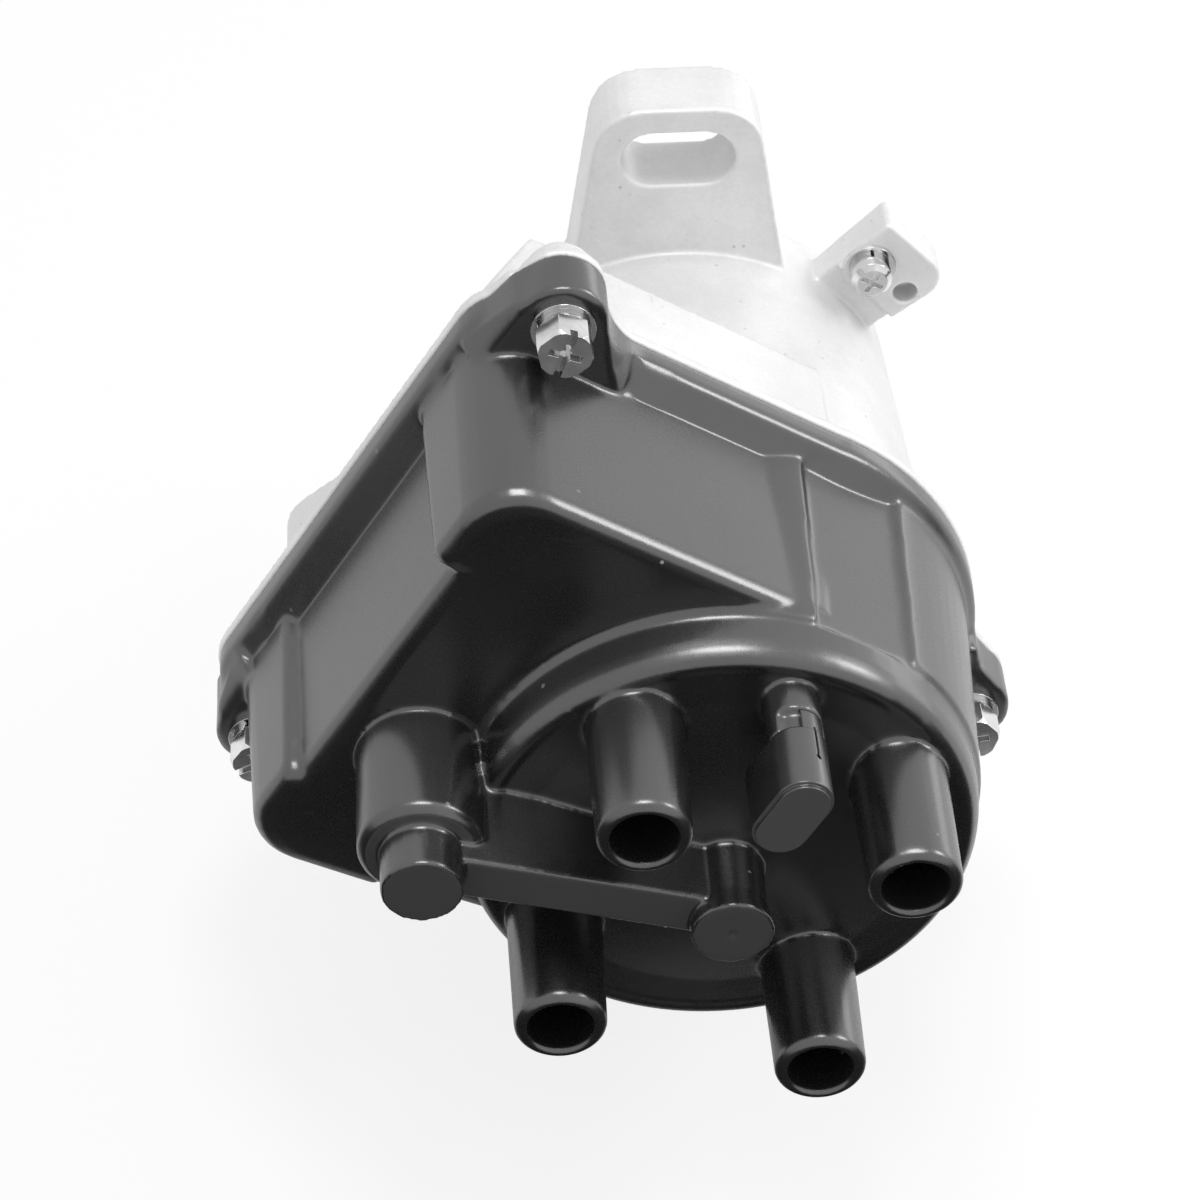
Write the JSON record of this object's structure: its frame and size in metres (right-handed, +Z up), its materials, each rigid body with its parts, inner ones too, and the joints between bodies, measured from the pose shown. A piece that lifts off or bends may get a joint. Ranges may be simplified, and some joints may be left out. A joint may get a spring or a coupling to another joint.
{
  "type": "ignition distributor",
  "caption": "Shaft-driven ignition distributor: cast housing with slotted ears, moulded cap with plug towers and a squared coil cover, rotor, pick-ups and offset drive coupling.",
  "frame": {"origin": "on the shaft axis in the plane of the mounting face", "axes": "+Y along the shaft towards the drive end, the cap faces -Y, +Z up through the top mounting ear"},
  "size_m": [0.1329, 0.174, 0.1408],
  "materials": {
    "cast_aluminium": "as cast, satin",
    "black_moulding": "satin moulded, fine grain",
    "hood_moulding": "satin moulded",
    "zinc_steel": "zinc plated",
    "spring_steel": "bright drawn",
    "machined_steel": "turned",
    "bearing_steel": "ground",
    "silicon_steel": "stacked sheets",
    "brass": "bright",
    "bronze": "sintered",
    "rubber": "matt",
    "seal_rubber": "matt",
    "carbon": "matt",
    "rotor_resin": "satin moulded",
    "resin_black": "potted"
  },
  "bodies": {
    "distributor_body": {"housing": "cast_aluminium", "distributor_cap": "black_moulding", "vent_hood": "hood_moulding", "cap_seal": "rubber", "plug_terminals": "brass", "centre_bar": "brass", "coil_contact_spring": "spring_steel", "inner_cover": "black_moulding", "inner_cover_screws": "zinc_steel", "coil_case": "resin_black", "coil_core": "silicon_steel", "coil_screws": "zinc_steel", "igniter_module": "resin_black", "igniter_plate": "cast_aluminium", "igniter_screws": "zinc_steel", "crank_sensor": "resin_black", "timing_sensor": "resin_black", "cylinder_sensor": "resin_black", "sensor_screws": "zinc_steel", "bearing_outer_ring": "bearing_steel", "bearing_retainer": "machined_steel", "retainer_screws": "zinc_steel", "shaft_bush": "bronze", "oil_seal": "seal_rubber", "pilot_ring": "rubber", "cap_screws": "zinc_steel", "cap_spring_washers": "spring_steel", "cap_flat_washers": "zinc_steel", "bracket_screw": "zinc_steel", "bracket_spring_washer": "spring_steel", "bracket_washer": "zinc_steel", "lead_grommet": "rubber"},
    "rotor_shaft": {"shaft": "machined_steel", "rotor_arm": "rotor_resin", "rotor_blade": "brass", "rotor_screw": "zinc_steel", "crank_reluctor": "machined_steel", "timing_reluctor": "machined_steel", "cylinder_reluctor": "machined_steel", "bearing_inner_ring": "bearing_steel", "thrust_washer": "machined_steel", "coupling_pin": "bearing_steel"},
    "ball_set": {"bearing_balls": "bearing_steel", "bearing_cage": "brass"},
    "drive": {"drive_coupling": "machined_steel", "pin_ring": "spring_steel"},
    "brush": {"carbon_brush": "carbon", "brush_spring": "spring_steel"}
  },
  "joints": [
    {"name": "shaft_spin", "type": "hinge", "parent": "distributor_body", "child": "rotor_shaft", "pos_m": [0, 0, 0], "axis": [0, 1, 0], "continuous": true},
    {"name": "ball_spin", "type": "hinge", "parent": "distributor_body", "child": "ball_set", "pos_m": [0, -0.02, 0], "axis": [0, 1, 0], "continuous": true},
    {"name": "coupling_rock", "type": "hinge", "parent": "rotor_shaft", "child": "drive", "pos_m": [0, 0.022, 0], "axis": [1, 0, 0], "range_deg": [-3, 3]},
    {"name": "brush_slide", "type": "slide", "parent": "distributor_body", "child": "brush", "axis": [0, -1, 0], "range_m": [0, 0.002], "stiffness_N_per_m": 120, "springref_m": -0.002, "deforming": ["brush_spring"]}
  ],
  "couplings": [
    {"joint": "ball_spin", "follows": "shaft_spin", "ratio": 0.381}
  ]
}
